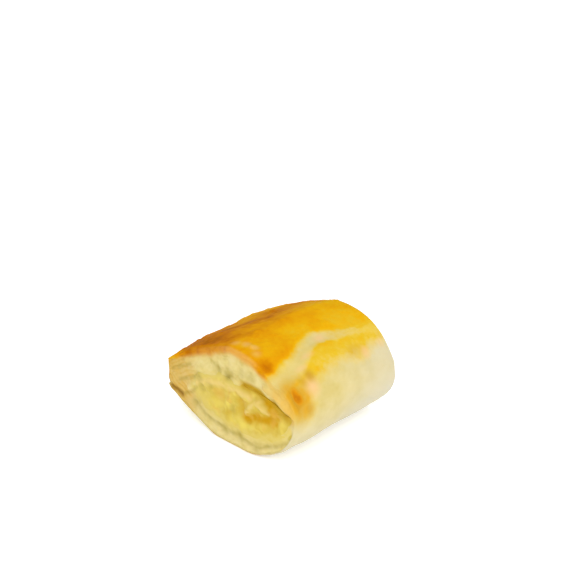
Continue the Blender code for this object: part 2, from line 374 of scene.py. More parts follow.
PAINTED_HIGHLIGHTS = (  # painted pinkish highlights on the glaze and along the stretch mark
    ((0.408, -0.56), 5.4, 4.6, 0.95),
    ((0.391, 0.54), 3.6, 3.2, 0.85),
    ((0.385, 0.88), 3.0, 3.0, 0.35),
    ((0.362, -0.54), 1.8, 4.0, 0.6),
    ((0.343, -0.32), 1.8, 4.5, 0.6),
    ((0.316, 0.06), 3.0, 4.0, 0.7),
    ((0.222, -0.87), 2.6, 2.6, 0.26),
    ((0.243, -0.81), 2.8, 2.6, 0.36),
    ((0.262, -0.79), 2.8, 2.4, 0.38),
    ((0.281, -0.86), 2.6, 2.6, 0.26),
)
BLISTERS = (  # place, half girth, half length, height in mm
    ((0.212, -0.45), 2.8, 2.4, 0.45),
    ((0.254, -0.80), 2.4, 2.0, 0.40),
    ((0.120, 0.35), 3.2, 3.6, 0.35),
    ((0.170, 0.70), 2.6, 3.0, 0.30),
)
BROWN_TIP = ((0.329, -0.93), 7.0, 5.5)  # the glaze's corner between the mark and the near cut
BROWNINGS = (  # place, half girth and half length in mm, how much more the glaze browned there
    (*BROWN_TIP, 0.25),
    ((0.425, -0.85), 12.0, 8.0, 0.14),
    ((0.20, 0.20), 22.0, 18.0, 0.14),
    ((0.290, -0.72), 7.0, 7.0, -0.19),
)
GAP_PATH = ((-8.2, 26.0), (-11.2, 26.1), (-14.8, 25.4), (-16.4, 24.6))  # painted brown shade in the gap under the roof
OLIVE_PATH = ((-21.4, 23.9), (-24.4, 21.7), (-27.4, 19.8))  # painted golden shade in the groove beside the ridge
RIDGE_PATH = (  # the raised edge of the roof, down to the fold
    (-17.9, 28.8), (-20.1, 27.7), (-23.5, 26.3),
    (-26.5, 23.8), (-29.8, 21.9), (-31.4, 20.5),
)
ROOF_PATH = (  # thin pale dough between the roof and the cheese
    (19.1, 14.4), (13.8, 19.3), (6.2, 21.6), (-0.3, 22.6),
    (-6.1, 22.6), (-10.9, 22.1), (-14.6, 22.0),
)
ARC_PATH = (  # an olive line below the cheese, where the lower sheet's layers part
    (16.2, 9.4), (10.7, 6.8), (1.1, 5.1), (-6.3, 5.4),
    (-13.5, 3.6), (-22.2, 7.4), (-27.9, 10.9), (-31.0, 16.6),
)
LIP_PATHS = (  # the same in the lip
    ((27.2, 19.3), (22.4, 22.0), (17.7, 24.6)),
    ((24.0, 16.0), (19.0, 18.4), (15.0, 20.6)),
    ((21.0, 11.4), (17.6, 13.4), (15.0, 16.4)),
)
NOTCH_PATH = ((28.1, 11.6), (25.5, 11.4), (22.9, 10.4))  # where the lip's two sheets stand apart, painted dark as shade
SHADE_SPOTS = (  # olive hollows: y, z, half size in mm, strength
    (4.5, 27.8, 2.6, 0.8),
    (-0.9, 27.2, 3.0, 1.0),
    (13.8, 21.0, 2.4, 0.9),
    (12.4, 17.1, 2.2, 0.9),
    (8.8, 19.4, 2.0, 0.5),
    (16.2, 9.4, 2.2, 1.0),
    (1.1, 5.1, 2.4, 0.8),
    (-6.3, 5.4, 2.4, 0.9),
    (-13.5, 3.6, 2.6, 0.6),
    (-2.6, 15.2, 2.2, 0.4),
    (-7.0, 30.6, 2.4, 0.4),
    (-11.4, 30.0, 3.2, 0.5),
)
DEEP_POOLS = (  # path and half width in mm, strength
    (((-9.9, 13.8), (-16.4, 16.0), (-20.9, 17.0), (-21.6, 16.4)), 2.2, 0.88),
    (((-18.8, 23.2), (-20.6, 21.2), (-22.0, 18.6)), 2.9, 1.0),
    (((-6.0, 18.6), (-7.0, 17.2)), 2.4, 0.5),
)
WARM_SPOTS = (  # y, z, half size in mm, strength: curds that browned, and dough seen through them
    (3.8, 18.2, 3.6, 0.7),
    (-3.4, 6.8, 3.4, 0.7),
    (-8.4, 19.6, 2.2, 0.5),
)
BRIGHT_SPOTS = (  # the same: clear yellow cheese
    (-0.6, 16.0, 2.6, 1.0),
    (-3.5, 10.3, 3.4, 0.7),
    (-8.0, 10.4, 3.2, 0.9),
    (-16.4, 13.6, 3.4, 0.7),
    (6.0, 13.4, 3.4, 0.5),
    (-24.4, 17.4, 3.2, 0.8),
)
DOUGH_FORK = (  # two strips of thin dough that lie over the cheese
    ((-9.4, 16.0), (-11.3, 18.8), (-13.7, 21.3)),
    ((-13.7, 21.3), (-16.5, 20.4), (-19.2, 19.5)),
)


def speckle(points, size, seed=0.0, octaves=2, stretch=(1, 1, 1)):
    """Fractal noise, about -1 to 1, with features size mm across, drawn out by stretch."""
    places = points / (size * MM * np.array(stretch)) + 17.3 * seed
    return np.array([noise.fractal(Vector(place), 1.0, 2.0, octaves) for place in places])


# -------- what shows on the skin


def spot(girth, x, centre, half_girth, half_length):
    """1 at a place on the skin, softly down to 0 at its edge. Half sizes in mm."""
    across = (girth - centre[0]) * GIRTH / (half_girth * MM)
    return bump(np.hypot(across, (x - 0.5 * LENGTH * centre[1]) / (half_length * MM)))


def spots(girth, x, places, firmness=1.0):
    """The strongest of several spots. A firm one stays strong nearly to its edge."""
    marks = [strength * np.clip(firmness * spot(girth, x, *place), 0, 1) for *place, strength in places]
    return np.max(marks, axis=0)


def bare_band(girth, x, plain):
    """How bare the stretch mark is: 1 where the glaze parted, 0 on the glaze beside it."""
    along = 2 * x / LENGTH
    places, centres, widths, strengths = zip(*BARE_BAND)
    across = np.abs(girth - np.interp(along, places, centres)) * GIRTH
    across += 0.55 * MM * speckle(plain, 2.6, 3.0)
    width = np.interp(along, places, widths) * MM
    return np.interp(along, places, strengths) * (1 - between(across, 0.35 * width, 1.75 * width))


def egg_wash(girth, x, plain, bare):
    """Where the brush left egg: the dome from the lip's edge to a soft line over the fold."""
    along = 2 * x / LENGTH
    last = np.interp(along, *zip(*WASH_EDGE))
    drips = 0.010 * speckle(plain, 9, 5.0) + 0.004 * speckle(plain, 2.5, 5.5)
    fade = 1 - between(girth + drips, last - 0.032, last + 0.028)
    fade *= 1 - 0.50 * between(girth, 0.382, 0.400) * between(-along, 0.35, 0.75)  # thin there
    lip = between(np.where(girth > 0.5, girth, girth + 1) - SEAM_GIRTH, 0.0, 0.008)
    return np.where(girth > 0.5, lip, fade) * (1 - bare)


def browning(girth, x, plain, bare, washed, scorch):
    """How far the oven browned the glaze: most at the near corner and beside the lip, where the darker
    glaze is partly painted shade.
    """
    along = 2 * x / LENGTH
    dome = np.where(girth > 0.5, 0, girth)
    near = between(-along, -0.45, 0.95)
    low = 1 - between(dome, 0.10, 0.26)
    # beside the lip the glaze is darker, partly its own browning and partly painted shade
    brown = 0.36 + 0.26 * near * (1 - 0.6 * low) + 0.41 * low * (0.85 + 0.26 * near)
    brown -= 0.14 * low * between(-along, 0.90, 0.98)  # lighter at the near edge
    brown -= 0.16 * (1 - near) * (1 - between(dome, 0.05, 0.13))  # and on the lip's far half
    brown += (0.42 * crimp_groove(x) - 0.24) * crimp_zone(girth)
    past_mark = between(girth, 0.318, 0.342) * (girth < 0.5)  # paler from the stretch mark on
    brown -= 0.26 * past_mark * (1 - spot(girth, x, *BROWN_TIP)) + 0.22 * between(bare, 0.0, 0.5)
    far = 0.11 * between(along, 0.0, 0.3) - 0.05 * between(along, 0.6, 0.95)
    brown += far * (girth > 0.33) * (girth < 0.5)
    brown += sum(change * spot(girth, x, *place) for *place, change in BROWNINGS)
    brown += 0.16 * speckle(plain, 9, 1.0, 3) + 0.05 * speckle(plain, 2.2, 7.0)
    return np.clip(np.maximum(brown * (0.25 + 0.75 * washed), 0.86 * scorch), 0, 1)


def rim_highlight(girth, along):
    """How much painted peachy highlight the skin has at the near cut's top edge, along its rolled rim.
    """
    top = (0.35 + 0.65 * between(girth, 0.17, 0.25)) * between(girth, 0.08, 0.14)
    return 0.27 * top * (1 - between(girth, 0.285, 0.315)) * between(-along, 0.955, 1.0)


def fold_bounce_and_pallor(x, y, z):
    """How far the dry dough is painted paler and greyer: low on the fold as painted bounce light from
    the white floor, and towards the far end.
    """
    pale = 0.75 * (1 - between(z, 2 * MM, 26 * MM)) + 0.60 * between(x, -9 * MM, 26 * MM)
    return np.clip(pale, 0, 0.9) * between(-y, 2 * MM, 16 * MM)


def skin_looks(girth, along, plain, z):
    """What colours the skin: egg, browning, painted highlights, toasted dough, and paler dough with
    painted bounce light low on the fold.
    """
    x = 0.5 * LENGTH * along
    ragged = 1 + 0.20 * speckle(plain, 3.2, 31.0)
    scorch = np.clip(spots(girth, x, SCORCHES, 1.25) * ragged, 0, 1)
    bare = bare_band(girth, x, plain)
    washed = egg_wash(girth, x, plain, bare)
    # painted highlights: pinkish spots, and a peachy one along the near cut's top edge
    blush = np.maximum(spots(girth, x, PAINTED_HIGHLIGHTS), rim_highlight(girth, along))
    toasted = spots(girth, x, TOASTED) * (1 - 0.85 * between(scorch, 0.60, 0.86))
    underside = 1 - between(plain[:, 2], 0.3 * MM, 1.8 * MM)
    return {
        "washed": np.clip(np.maximum(washed, 1.35 * scorch), 0, 1),
        "brown": browning(girth, x, plain, bare, washed, scorch),
        "blush": np.clip(blush * ragged, 0, 1),
        "toasted": np.maximum(toasted, 0.8 * underside),
        # low on the fold the grey is painted bounce light
        "pale": fold_bounce_and_pallor(x, plain[:, 1], z),
    }


def fine_relief(girth, along, plain):
    """Relief too fine for the solids, in metres along the skin's outward direction."""
    x = 0.5 * LENGTH * along
    bare = bare_band(girth, x, plain)
    washed = egg_wash(girth, x, plain, bare)
    swell = 0.26 * MM * speckle(plain, 9, 2.0)
    wrinkles = 0.10 * MM * speckle(plain, 1.9, 4.0, 2, (5, 1, 1))
    pimples = 0.20 * MM * smooth((speckle(plain, 2.6, 6.0) - 0.25) / 0.5)
    film = 0.16 * MM * washed
    strands = 0.12 * MM * speckle(plain, 1.1, 8.0, 2, (4, 1, 1)) * bare
    blisters = sum(height * MM * spot(girth, x, *place) for *place, height in BLISTERS)
    bead = 0.5 * MM * bump((girth - 0.415) / 0.075) * between(-along, 0.88, 0.99)
    in_seam = bump((girth - SEAM_GIRTH) * GIRTH / SEAM_HALF_WIDTH)
    closing = 0.6 * SEAM_DEPTH * in_seam * between(-along, 0.86, 0.98)  # shallower there
    edge = 0.35 * MM * bump((girth - 0.041) * GIRTH / (2.0 * MM)) * (0.6 + speckle(plain, 7, 9.0))
    relief = swell + wrinkles * (0.5 + 0.5 * (1 - washed)) + pimples * (0.3 + 0.7 * washed)
    return relief + film + strands + blisters + edge + bead + closing


# -------- what shows at the cuts


def flat_points(at, layer=0.0):
    """Points to read noise at on a flat cut. A layer of its own gives each use another noise."""
    return np.column_stack([np.full(len(at), layer) * MM, at])


def cut_plan(at, side):
    """Where points (y, z) of a cut lie in the near cut's plan, in mm. The far cut's is warped."""
    flat = flat_points(at)
    warp = np.column_stack([3.0 * speckle(flat, 11, 61.0), 1.8 * speckle(flat, 9, 62.0)])
    return at / MM + (side > 0)[:, None] * warp


def near_path(plan, path, half_width):
    """1 on a line across a cut, softly down to 0 beside it. All in mm."""
    nearest = np.full(len(plan), np.inf)
    for start, end in zip(path, path[1:]):
        a, b = np.array(start), np.array(end)
        share = np.clip((plan - a) @ (b - a) / ((b - a) @ (b - a)), 0, 1)
        nearest = np.minimum(nearest, np.linalg.norm(plan - a - share[:, None] * (b - a), axis=1))
    return bump(nearest / half_width)


def near_paths(plan, paths, half_width):
    """The same for several lines."""
    return np.max([near_path(plan, path, half_width) for path in paths], axis=0)


def near_spots(plan, places):
    """The strongest of several round spots on a cut."""
    y, z = plan.T
    marks = [k * bump(np.hypot(y - at_y, z - at_z) / (1.3 * size)) for at_y, at_z, size, k in places]
    return np.max(marks, axis=0)


def olive_shade(plan):
    """Olive hollows and grooves, where the layers stand apart."""
    lines = np.maximum(0.46 * near_path(plan, ARC_PATH, 1.7), 0.42 * near_paths(plan, LIP_PATHS, 1.3))
    marks = np.maximum(lines, 0.75 * near_spots(plan, SHADE_SPOTS))
    return np.clip(marks * (1 + 0.6 * speckle(flat_points(plan * MM), 2.6, 24.0)), 0, 1)


def shaded_grooves(plan):
    """Grooves painted golden-brown as shade: under the roof, and beside the ridge at the fold."""
    return np.maximum(near_path(plan, GAP_PATH, 3.0), 0.8 * near_path(plan, OLIVE_PATH, 3.2))


def leaves(at, side, depth):
    """The dough's layers on a cut: how far they stand out, and how much of a line a point is."""
    flat = flat_points(at, 3.0 * side)
    wander = 1.1 * MM * speckle(flat, 9, 11.0) + 0.3 * MM * speckle(flat, 2.6, 12.0)
    place = (under_skin(at) + wander) / LEAF_PITCH
    number = np.floor(place)
    crest = np.sin(math.pi * (place - number)) ** 0.6
    corner = between(at[:, 0], 13 * MM, 24 * MM)
    fading = smooth(0.02 + 1.2 * speckle(flat, 5, 13.0) + 0.9 * corner)
    standing = speckle(flat_points(at, 9.7 * number), 6, 12.0)
    line = (1 - crest) * fading
    pillows = 0.30 * MM * speckle(flat, 3.6, 16.0) + 0.12 * MM * speckle(flat, 1.2, 17.0)
    return LEAF_STEP * standing * (0.3 + 0.7 * fading) - depth * line + pillows, line


def knife(at, side):
    """Broad unevenness of a cut, which the dough and the cheese share, in metres outward."""
    return 0.45 * MM * speckle(flat_points(at, 7.0 * side), 9, 21.0) - 0.1 * MM


def crumb_looks(plan, from_rim, line, side):
    """Colour of the cut dough: its tone from shade to pale, and how golden it is."""
    y, z = plan.T
    flat = flat_points(plan * MM, 5.0 * side)
    tone = 0.66 + 0.24 * speckle(flat, 4.5, 22.0) + 0.14 * speckle(flat, 1.4, 23.0)
    lip = between(y, 12, 22)
    golden = 0.80 * lip * (0.75 + 0.25 * line) * (1 + 0.4 * speckle(flat, 4, 25.0))
    top_rim = bump(from_rim / (5.2 * MM)) * between(z, 14, 22)
    golden = np.maximum(golden, (0.52 + 0.45 * lip) * top_rim)
    ridge = near_path(plan, RIDGE_PATH, 1.8)
    golden = np.maximum(golden, 0.45 * ridge) * (1 - 0.8 * near_path(plan, ROOF_PATH, 2.2))
    tone += 0.14 * ridge + 0.22 * near_path(plan, ROOF_PATH, 2.0) - 0.16 * line
    return np.clip(tone, 0, 1), np.clip(golden, 0, 1)


def skin_reach(girth, plain):
    """How far over the rim the skin's colours run on to the cut, in metres: most over the top."""
    girth = np.where(girth > 0.6, girth - 1, girth)
    top = between(girth, -0.01, 0.03) * (1 - between(girth, 0.455, 0.50))
    corner = bump((girth - 0.425) / 0.06)
    return (0.5 + 1.7 * top + 1.5 * corner) * MM * (1 + 0.35 * speckle(plain, 5, 26.0, 1))


def edge_bead(girth, along, plain, from_rim, to_core):
    """The bright golden bead at the near cut's edge, from the corner down the fold."""
    skin = 0.3 * (1 - between(1 + along, 0.0, 0.025))
    face = between(from_rim, -1.0 * MM, 1.8 * MM) * (1 - between(from_rim, 3.3 * MM, 6.2 * MM))
    face = face * between(to_core, 0.4 * MM, 1.8 * MM)
    bead = bump((girth - 0.405) / 0.085) ** 0.6 * np.where(from_rim > 0, face, skin) * (along < 0)
    return np.clip(bead * (0.88 + 0.4 * speckle(plain, 2.4, 33.0)), 0, 1)


def gap_zone(girth, to_core):
    """1 in the gap between the filling and the roof of the opening, near the fold, where it sinks and
    is painted dark as shade.
    """
    roof = between(girth, 0.22, 0.28) * (1 - between(girth, 0.44, 0.49))
    return roof * (1 - 0.6 * between(girth, 0.34, 0.41)) * (1 - smooth(to_core / GAP_WIDTH))


def wrap_rows(row):
    """Which rows lie on the skin, at the far cut and in the opening, and how far along and inward."""
    on_skin = row <= SKIN_ROWS
    past = row - SKIN_ROWS
    far = ~on_skin & (past <= FACE_ROWS)
    back = past - FACE_ROWS
    tunnel = ~on_skin & ~far & (back < TUNNEL_ROWS)
    zones = [on_skin, far, tunnel]
    along = np.select(zones, [2 * row / SKIN_ROWS - 1, 1.0, 1 - 2 * back / TUNNEL_ROWS], -1.0)
    inward = np.select(zones, [0.0, past / FACE_ROWS, 1.0], 1 - (back - TUNNEL_ROWS) / FACE_ROWS)
    return *zones, along, inward


def wrap(girth, row, leaf_depth):
    """Points and looks of the wrap: out over the skin, in at the far cut, back, and out."""
    on_skin, far, tunnel, along, inward = wrap_rows(row)
    on_cut = ~(on_skin | far | tunnel) + FAR_SHARE * far
    side = np.where(along < 0, -1.0, 1.0)

    plain = skin_points(girth, along)
    rim = skin_points(girth, along, fine_relief(girth, along, plain))
    core = core_points(girth, along)
    points = rim + (core - rim) * inward[:, None]
    wall = np.linalg.norm(core - rim, axis=1)
    from_rim, to_core = inward * wall, (1 - inward) * wall
    at = points[:, 1:]
    z = at[:, 1]

    plan = cut_plan(at, side)
    shade = olive_shade(plan) * on_cut
    shaded_groove = shaded_grooves(plan) * on_cut
    notch = near_path(plan, NOTCH_PATH, 1.9) * on_cut
    gap = gap_zone(girth, to_core)

    leaf_relief, line = leaves(at, side, leaf_depth)
    raised = 0.70 * near_path(plan, RIDGE_PATH, 2.0) + 0.35 * near_path(plan, ROOF_PATH, 1.8)
    sunk = 0.4 * near_path(plan, OLIVE_PATH, 2.0) + 0.6 * shade
    relief = leaf_relief * (1 - bump(to_core / (4 * MM)))
    relief += ((raised - sunk) * on_cut - 0.5 * notch) * MM + knife(at, side)
    relief -= GAP_DEPTH * np.maximum(0.45 * gap, 0.4 * shaded_groove)
    rounding = 1 - np.clip(from_rim / RIM_RADIUS, 0, 1)
    puffed = RIM_PUFF * np.sqrt(np.clip(1 - rounding**2, 0, 1))
    outward_x = np.where(tunnel, along, np.sign(along))
    points[:, 0] += outward_x * (relief * smooth(from_rim / (0.9 * MM)) + puffed) * ~on_skin

    reach = skin_reach(girth, plain)
    # painted shade: a darker olive border along the cut's lower edge
    low_rim_shade = 0.5 * bump(from_rim / (2.0 * MM)) * (1 - between(z, 12 * MM, 18 * MM))
    straight = np.column_stack([0.5 * LENGTH * along, at])
    soaked = bump(to_core / (5.5 * MM)) * (0.8 + 0.6 * speckle(straight, 3.0, 32.0))
    soaked *= 1 - 0.45 * between(z, 21 * MM, 25 * MM)
    looks = skin_looks(girth, along, plain, z)
    looks["cut"] = between(from_rim, 0.3 * reach, 1.6 * reach) * ~on_skin
    looks["tone"], looks["gold"] = crumb_looks(plan, from_rim, line, side)
    looks["shade"] = np.maximum(shade, low_rim_shade)
    # painted shade in the gap and the grooves
    looks["gap"] = np.clip(np.maximum(0.6 * gap, shaded_groove), 0, 1)
    # painted shade in the notch between the lip's two sheets
    looks["char"] = 0.9 * notch
    looks["soaked"] = np.clip(soaked, 0, 1)
    looks["bead"] = edge_bead(girth, along, plain, from_rim, to_core)
    return points, looks


def cheese_marks(plan, flat):
    """What lies on the cheese: thin dough and golden pools, with painted shade in the olive hollows and
    the brown gap.
    """
    pools = np.max([k * near_path(plan, path, 1.5 * width) for path, width, k in DEEP_POOLS], axis=0)
    return {
        "fork": near_paths(plan, DOUGH_FORK, 1.7) * smooth(0.9 + speckle(flat, 2.0, 45.0)),
        "lid": near_path(plan, ROOF_PATH, 2.4) * smooth(0.9 + speckle(flat, 3.0, 49.0)),
        "pools": np.clip(pools * (1 + 0.5 * speckle(flat, 2.6, 46.0)), 0, 1),
        "shade": olive_shade(plan),
        "gap": shaded_grooves(plan),
    }


def cheese_looks(plan, flat, ring, roof, marks):
    """What colours the cheese, from the marks on it and how far out from its middle a point is."""
    _, y, z = flat.T
    fork, pools = marks["fork"], marks["pools"]
    patches = speckle(flat, 6, 51.0) + 0.5 * speckle(flat, 2.2, 52.0)
    deep = 0.24 + 0.12 * between(-y, -6 * MM, 6 * MM) + 0.24 * patches + 0.85 * pools * (1 - 0.8 * fork)
    edge = between(ring + 0.16 * speckle(flat, 2.6, 48.0), 0.62, 0.98) * (1 - roof)
    edge *= 1 - 0.9 * between(-y, 15 * MM, 22 * MM) * between(z, 11 * MM, 15 * MM)
    browned = 0.5 * smooth(speckle(flat, 4.0, 53.0) * 2 - 0.2)
    clear = 0.6 * smooth(speckle(flat, 3.4, 54.0) * 2 - 0.3)
    return {
        "deep": np.clip(deep, 0, 1),
        "warm": np.clip(np.maximum(near_spots(plan, WARM_SPOTS), browned), 0, 1),
        "bright": np.clip(np.maximum(near_spots(plan, BRIGHT_SPOTS), clear) * (1 - pools), 0, 1),
        "fork": np.clip(0.75 * np.maximum(fork, marks["lid"]), 0, 1),
        "edge": np.clip(edge, 0, 1),
        "shade": marks["shade"],
        "gap": marks["gap"],
    }


def cheese(girth, row):
    """Points and looks of the filling: rings from the middle of one cut, its side, the other cut."""
    last = 2 * CHEESE_RINGS + CHEESE_ROWS
    side = np.where(row < 0.5 * last, -1.0, 1.0)
    ring = np.minimum(np.minimum(row, last - row), CHEESE_RINGS) / CHEESE_RINGS
    along = np.clip((row - CHEESE_RINGS) / CHEESE_ROWS, 0, 1) * 2 - 1
    on_face = (row <= CHEESE_RINGS) | (row >= CHEESE_RINGS + CHEESE_ROWS)

    roof = between(girth, 0.18, 0.26) * (1 - between(girth, 0.39, 0.46))
    turn = 2 * math.pi * girth
    wander = speckle(np.column_stack([np.cos(turn), np.sin(turn), side]) * 10 * MM, 3, 40.0, 3)
    smear = 0.1 * MM + CHEESE_SMEAR * np.maximum(0.3, 1 + 1.1 * wander) * (1 - roof)
    outer = core_points(girth, along, -smear)[:, 1:] - (CORE_Y, CORE_Z)
    reach = np.linalg.norm(outer, axis=1)
    at = outer * ring[:, None] + (CORE_Y, CORE_Z)
    facing = np.where(on_face, side, along)
    x = slanted(0.5 * LENGTH * facing, at[:, 0])
    x -= facing * FILLING_RECESS * roof * between(ring, 0.45, 0.95)

    plan = cut_plan(at, side)
    flat = flat_points(at, 4 * side)
    marks = cheese_marks(plan, flat)
    lumps = 0.50 * MM * speckle(flat, 6.5, 41.0) + 0.26 * MM * speckle(flat, 2.4, 42.0)
    curds = 0.40 * MM * smooth((speckle(flat, 3.6, 43.0) + 0.1) / 0.6)
    raised = 0.50 * marks["fork"] + 0.45 * marks["lid"]
    sunk = 0.35 + 0.50 * marks["pools"] * (1 - marks["fork"]) + 0.7 * (marks["shade"] + marks["gap"])
    swell = lumps + curds + (raised - sunk) * MM
    past_core = (ring * reach - (reach - smear)) / smear  # 0 at the opening's edge, 1 at the cheese's
    inner = 1 - between(ring * reach, reach - smear - 5 * MM, reach - smear)
    rim = CHEESE_EDGE * (1 - inner) * (1 - 2.2 * np.maximum(0.0, past_core) ** 2)
    rim -= 0.40 * MM * bump((girth - 0.48) / 0.12) * ring**8
    x += on_face * side * (knife(at, side) + swell * inner + rim + RIM_PUFF)
    return np.column_stack([x, at]), cheese_looks(plan, flat, ring, roof, marks)


# -------- meshes


def placed(name, data):
    """A new object in the scene."""
    made = bpy.data.objects.new(name, data)
    bpy.context.scene.collection.objects.link(made)
    return made


def laid_sheet(name, place, columns, rows):
    """A grid laid round the girth and closed. What place says of each point goes in attributes."""
    bm = bmesh.new()
    bmesh.ops.create_grid(bm, x_segments=columns, y_segments=rows, size=0.5)
    across, down = np.array([vert.co[:2] for vert in bm.verts]).T + 0.5
    points, looks = place(column_girth(across), np.round(down * rows, 4))
    points = points + part_shift()
    points[:, 2] = np.maximum(points[:, 2], 0.0)
    for vert, point in zip(bm.verts, points):
        vert.co = point
    for key, values in looks.items():
        layer = bm.verts.layers.float.new(key)
        for vert, value in zip(bm.verts, values):
            vert[layer] = value
    bmesh.ops.remove_doubles(bm, verts=bm.verts, dist=MERGE)
    bmesh.ops.recalc_face_normals(bm, faces=bm.faces)
    mesh = bpy.data.meshes.new(name)
    bm.to_mesh(mesh)
    bm.free()
    mesh.shade_smooth()
    return placed(name, mesh)


# -------- materials

FATTY_FOOD = {
    "IOR": 1.45,  # of egg, butter and milk fat
    "Specular IOR Level": 0.02,  # the photo shows hardly any gloss
    "Subsurface Scale": 2.0 * MM,  # how far light goes in
}
DOUGH_TEXTURES = (  # name, size of its features in mm, detail
    ("patches", 5.88, 3.0),
    ("mottle", 1.54, 4.0),
    ("grain", 0.5, 2.0),  # flakes of 0.2 mm, drawn coarser so that they show
)
CHEESE_TEXTURES = (
    ("curds", 2.5, 3.0),
    ("grain", 0.588, 2.0),  # of 0.1 mm, drawn coarser too
)


def fill(tree, node, inputs):
    """Sets a node's inputs, each to a value or to another node's socket."""
    for name, value in inputs.items():
        if isinstance(value, bpy.types.NodeSocket):
            tree.links.new(value, node.inputs[name])
        else:
            node.inputs[name].default_value = value


def add(tree, kind, settings=None, inputs=None):
    """Adds a node with its settings and links."""
    made = tree.nodes.new("ShaderNode" + kind)
    for name, value in (settings or {}).items():
        if name == "stops":
            ramp = made.color_ramp
            while len(ramp.elements) < len(value):
                ramp.elements.new(0.5)
            for element, (place, colour) in zip(ramp.elements, value):
                element.position = place
                element.color = (*colour, 1.0)
        else:
            setattr(made, name, value)
    fill(tree, made, inputs or {})
    return made


def shades(settings, **places):
    """A ramp's settings: each colour named at its place."""
    return {"stops": [(place, getattr(settings, name)) for name, place in places.items()]}


def layered(tree, ground, layers):
    """Colours laid one over another, each where its mask says."""
    for mask, colour in layers:
        colour = colour if isinstance(colour, bpy.types.NodeSocket) else (*colour, 1.0)
        mix = add(tree, "Mix", {"data_type": "RGBA"}, {0: mask, 6: ground, 7: colour})
        ground = mix.outputs[2]
    return ground


def own_layers(read, settings, names):
    """Layers whose mask and colour have the same name."""
    return [(read[name], getattr(settings, name)) for name in names]


def mottled(tree, mask, texture, share):
    """A mask made uneven by a texture, up and down by half a share."""
    raised = add(tree, "Math", {"operation": "MULTIPLY_ADD"}, {0: texture, 1: share, 2: mask})
    lowered = add(tree, "Math", {"operation": "SUBTRACT"}, {0: raised.outputs[0], 1: 0.5 * share})
    return lowered.outputs[0]


def new_material(name, masks=(), textures=()):
    """A material, its shader, and the masks and textures that colour it, by name."""
    made = bpy.data.materials.new(name)
    made.use_nodes = True
    tree = made.node_tree
    read = {mask: add(tree, "Attribute", {"attribute_name": mask}).outputs["Fac"] for mask in masks}
    for texture, size, detail in textures:
        place = add(tree, "TexCoord").outputs["Object"]
        settings = {"Vector": place, "Scale": 1 / (size * MM), "Detail": detail}
        read[texture] = add(tree, "TexNoise", None, settings).outputs["Fac"]
    return made, tree.nodes["Principled BSDF"], read


def baked_dough(settings):
    """Egg-washed puff dough: the wash dried to a satin film of egg, the bare dough is dry and dull."""
    masks = ("washed", "brown", "blush", "toasted", "pale", "cut", "tone", "gold", "shade", "gap",
             "char", "soaked", "bead")
    made, shader, read = new_material("egg_washed_puff_dough", masks, DOUGH_TEXTURES)
    tree = made.node_tree

    # The skin: dry dough in patches, greyer low on the fold as painted bounce light, egg from thin
    # yellow to dark brown, painted highlights and toasted dough.
    ramp = shades(settings, dough_shade=0.32, dough=0.68)
    dough = add(tree, "ValToRGB", ramp, {"Fac": read["patches"]}).outputs["Color"]
    brown = mottled(tree, read["brown"], read["mottle"], 0.22)
    yellow = {"glaze_thin": 0.0, "glaze_pale": 0.22, "glaze_gold": 0.42}
    ramp = shades(settings, **yellow, glaze_orange=0.62, glaze_brown=0.82, glaze_dark=1.0)
    wash = add(tree, "ValToRGB", ramp, {"Fac": brown}).outputs["Color"]
    washed = mottled(tree, read["washed"], read["mottle"], 0.3)
    limits = {"Value": washed, "From Min": 0.03, "From Max": 0.80}
    washed = add(tree, "MapRange", None, limits).outputs["Result"]
    skin = layered(tree, dough, [(read["pale"], settings.dough_bounce_grey), (washed, wash)])
    skin = layered(tree, skin, own_layers(read, settings, ("blush", "toasted")))

    # The cuts: crumb from shade to pale, and the marks on it.
    tone = mottled(tree, read["tone"], read["mottle"], 0.3)
    ramp = shades(settings, crumb_dark=0.0, crumb_shade=0.3, crumb=0.6, crumb_pale=1.0)
    crumb = add(tree, "ValToRGB", ramp, {"Fac": tone}).outputs["Color"]
    marks = ("soaked", "gold", "shade", "gap", "char")
    cut = layered(tree, crumb, own_layers(read, settings, marks))
    colour = layered(tree, skin, [(read["cut"], cut), (read["bead"], settings.bead)])

    # Glazed skin is the smoothest, and grain makes all of it rougher.
    skin_share = add(tree, "Math", {"operation": "SUBTRACT"}, {0: 1.0, 1: read["cut"]})
    shine = add(tree, "Math", {"operation": "MULTIPLY"}, {0: skin_share.outputs[0], 1: washed})
    dull = add(tree, "Math", {"operation": "MULTIPLY_ADD"}, {0: shine.outputs[0], 1: -0.16, 2: 0.80})
    grainy = {0: read["grain"], 1: 0.08, 2: dull.outputs[0]}
    dull = add(tree, "Math", {"operation": "MULTIPLY_ADD"}, grainy)
    low = add(tree, "Bump", None, {"Strength": 0.4, "Distance": 0.14 * MM, "Height": read["mottle"]})
    low = low.outputs["Normal"]
    fine = {"Strength": 0.35, "Distance": 0.05 * MM, "Height": read["grain"], "Normal": low}
    fill(tree, shader, {
        "Base Color": colour,
        "Roughness": dull.outputs[0],
        "Normal": add(tree, "Bump", None, fine).outputs["Normal"],
        "Subsurface Weight": 0.12,
        "Subsurface Radius": (1.0, 0.6, 0.25),  # red light goes furthest
        **FATTY_FOOD,
    })
    return made


